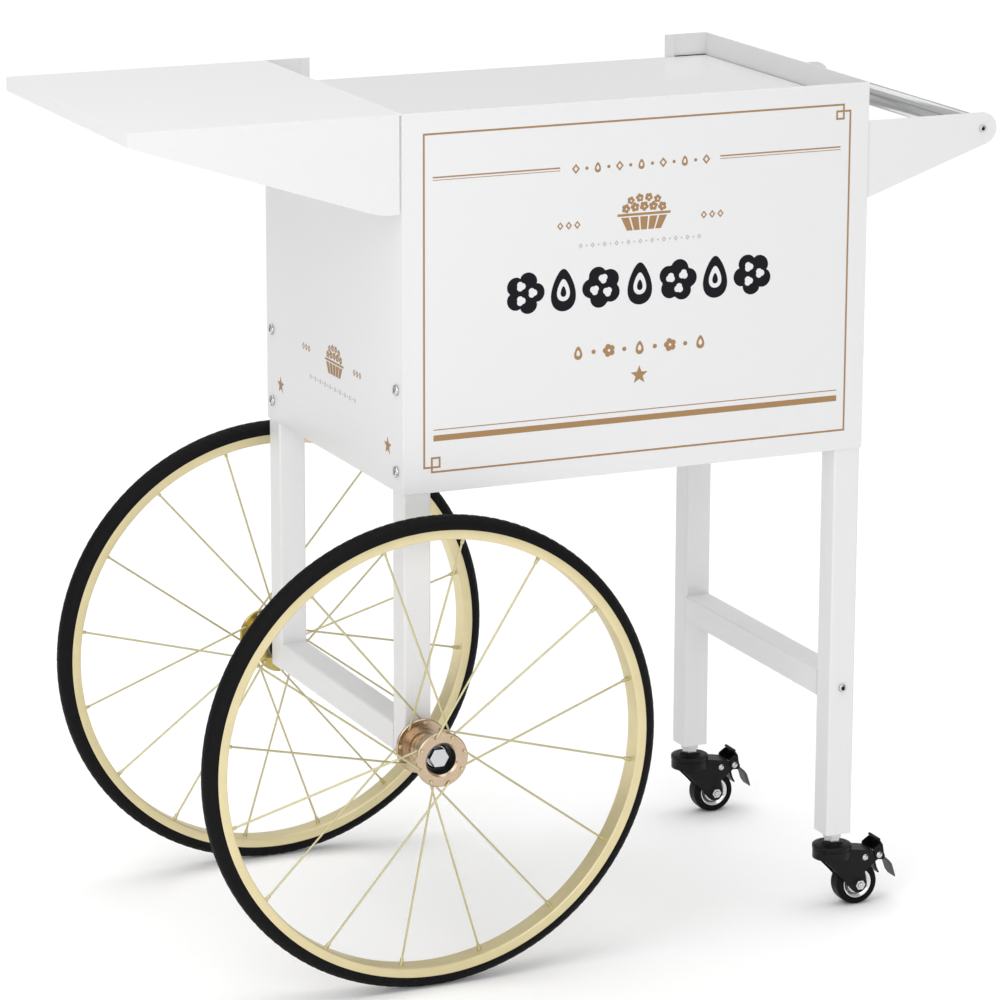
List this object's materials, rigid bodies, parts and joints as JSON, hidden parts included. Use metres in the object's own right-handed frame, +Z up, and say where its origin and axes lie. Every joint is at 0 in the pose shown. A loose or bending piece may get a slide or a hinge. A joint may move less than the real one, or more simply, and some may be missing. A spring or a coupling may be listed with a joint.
{
  "type": "popcorn cart",
  "caption": "Two-wheeled catering cart: steel cabinet with recessed worktop, side shelf, push handle, spoked wheels and braked casters.",
  "frame": {"origin": "on the floor, at the centre of the cart's overall footprint", "axes": "+Z up, +X from the side shelf towards the push handle, -Y out of the decorated front panel"},
  "size_m": [0.965, 0.5104, 0.903],
  "materials": {
    "white_enamel": "glossy white powder coat",
    "zinc_bolts": "zinc plated",
    "black_plastic": "moulded, matt",
    "polished_tube": "polished stainless",
    "tyre_rubber": "solid rubber, fine tread",
    "gold_alloy": "anodised pale gold, satin",
    "copper_hub": "anodised rose gold, satin",
    "brass_hub": "anodised yellow gold, satin",
    "bearing_steel": "steel ring with dark seal",
    "black_steel": "black electrophoretic coat, satin",
    "caster_core": "machined",
    "caster_rubber": "moulded tread"
  },
  "bodies": {
    "frame": {"front_panel": "white_enamel", "left_panel": "white_enamel", "right_panel": "white_enamel", "worktop": "white_enamel", "floor_panel": "white_enamel", "side_shelf": "white_enamel", "shelf_bolts": "zinc_bolts", "leg_front_left": "white_enamel", "leg_rear_left": "white_enamel", "leg_front_right": "white_enamel", "leg_rear_right": "white_enamel", "leg_bolts": "zinc_bolts", "crossbar_left": "white_enamel", "crossbar_right": "white_enamel", "crossbar_bolts": "zinc_bolts", "leg_plugs": "black_plastic", "handle_bracket_front": "white_enamel", "handle_bracket_rear": "white_enamel", "handle_tube": "polished_tube", "handle_plugs": "black_plastic", "handle_bolts": "zinc_bolts", "bracket_bolts": "zinc_bolts", "axle_front": "zinc_bolts", "axle_rear": "zinc_bolts", "axle_spacers_front": "zinc_bolts", "axle_spacers_rear": "zinc_bolts", "caster_front_stem": "zinc_bolts", "caster_front_cap": "black_steel", "caster_rear_stem": "zinc_bolts", "caster_rear_cap": "black_steel"},
    "wheel_front": {"tyre_front": "tyre_rubber", "rim_front": "gold_alloy", "spokes_front": "gold_alloy", "nipples_front": "gold_alloy", "hub_front": "copper_hub", "bearings_front": "bearing_steel"},
    "caster_front_swivel": {"caster_front_fork": "black_steel", "caster_front_axle": "zinc_bolts", "caster_front_rivets": "zinc_bolts"},
    "caster_front_wheel": {"caster_front_core": "caster_core", "caster_front_tyre": "caster_rubber"},
    "caster_front_brake": {"caster_front_pedal": "black_steel", "caster_front_pad": "black_plastic"},
    "caster_front_leaf": {"caster_front_shoe": "black_steel"},
    "wheel_rear": {"tyre_rear": "tyre_rubber", "rim_rear": "gold_alloy", "spokes_rear": "gold_alloy", "nipples_rear": "gold_alloy", "hub_rear": "brass_hub", "bearings_rear": "bearing_steel"},
    "caster_rear_swivel": {"caster_rear_fork": "black_steel", "caster_rear_axle": "zinc_bolts", "caster_rear_rivets": "zinc_bolts"},
    "caster_rear_wheel": {"caster_rear_core": "caster_core", "caster_rear_tyre": "caster_rubber"},
    "caster_rear_brake": {"caster_rear_pedal": "black_steel", "caster_rear_pad": "black_plastic"},
    "caster_rear_leaf": {"caster_rear_shoe": "black_steel"}
  },
  "joints": [
    {"name": "wheel_front_spin", "type": "hinge", "parent": "frame", "child": "wheel_front", "pos_m": [-0.1793, -0.226, 0.25], "axis": [0, 1, 0], "continuous": true},
    {"name": "caster_front_turn", "type": "hinge", "parent": "frame", "child": "caster_front_swivel", "pos_m": [0.3133, -0.1738, 0.0605], "axis": [0, 0, 1], "continuous": true},
    {"name": "caster_front_roll", "type": "hinge", "parent": "caster_front_swivel", "child": "caster_front_wheel", "pos_m": [0.3408, -0.1738, 0.024], "axis": [0, 1, 0], "continuous": true},
    {"name": "caster_front_pedal_press", "type": "hinge", "parent": "caster_front_swivel", "child": "caster_front_brake", "pos_m": [0.3641, -0.1738, 0.0548], "axis": [0, 1, 0], "range_deg": [0, 12]},
    {"name": "caster_front_leaf_press", "type": "hinge", "parent": "caster_front_swivel", "child": "caster_front_leaf", "pos_m": [0.348, -0.1738, 0.0536], "axis": [0, 1, 0], "range_deg": [0, 6]},
    {"name": "wheel_rear_spin", "type": "hinge", "parent": "frame", "child": "wheel_rear", "pos_m": [-0.1793, 0.226, 0.25], "axis": [0, 1, 0], "continuous": true},
    {"name": "caster_rear_turn", "type": "hinge", "parent": "frame", "child": "caster_rear_swivel", "pos_m": [0.3133, 0.1738, 0.0605], "axis": [0, 0, 1], "continuous": true},
    {"name": "caster_rear_roll", "type": "hinge", "parent": "caster_rear_swivel", "child": "caster_rear_wheel", "pos_m": [0.3408, 0.1738, 0.024], "axis": [0, 1, 0], "continuous": true},
    {"name": "caster_rear_pedal_press", "type": "hinge", "parent": "caster_rear_swivel", "child": "caster_rear_brake", "pos_m": [0.3641, 0.1738, 0.0548], "axis": [0, 1, 0], "range_deg": [0, 12]},
    {"name": "caster_rear_leaf_press", "type": "hinge", "parent": "caster_rear_swivel", "child": "caster_rear_leaf", "pos_m": [0.348, 0.1738, 0.0536], "axis": [0, 1, 0], "range_deg": [0, 6]}
  ],
  "couplings": [
    {"joint": "caster_front_leaf_press", "follows": "caster_front_pedal_press", "ratio": 0.5},
    {"joint": "caster_rear_leaf_press", "follows": "caster_rear_pedal_press", "ratio": 0.5}
  ]
}
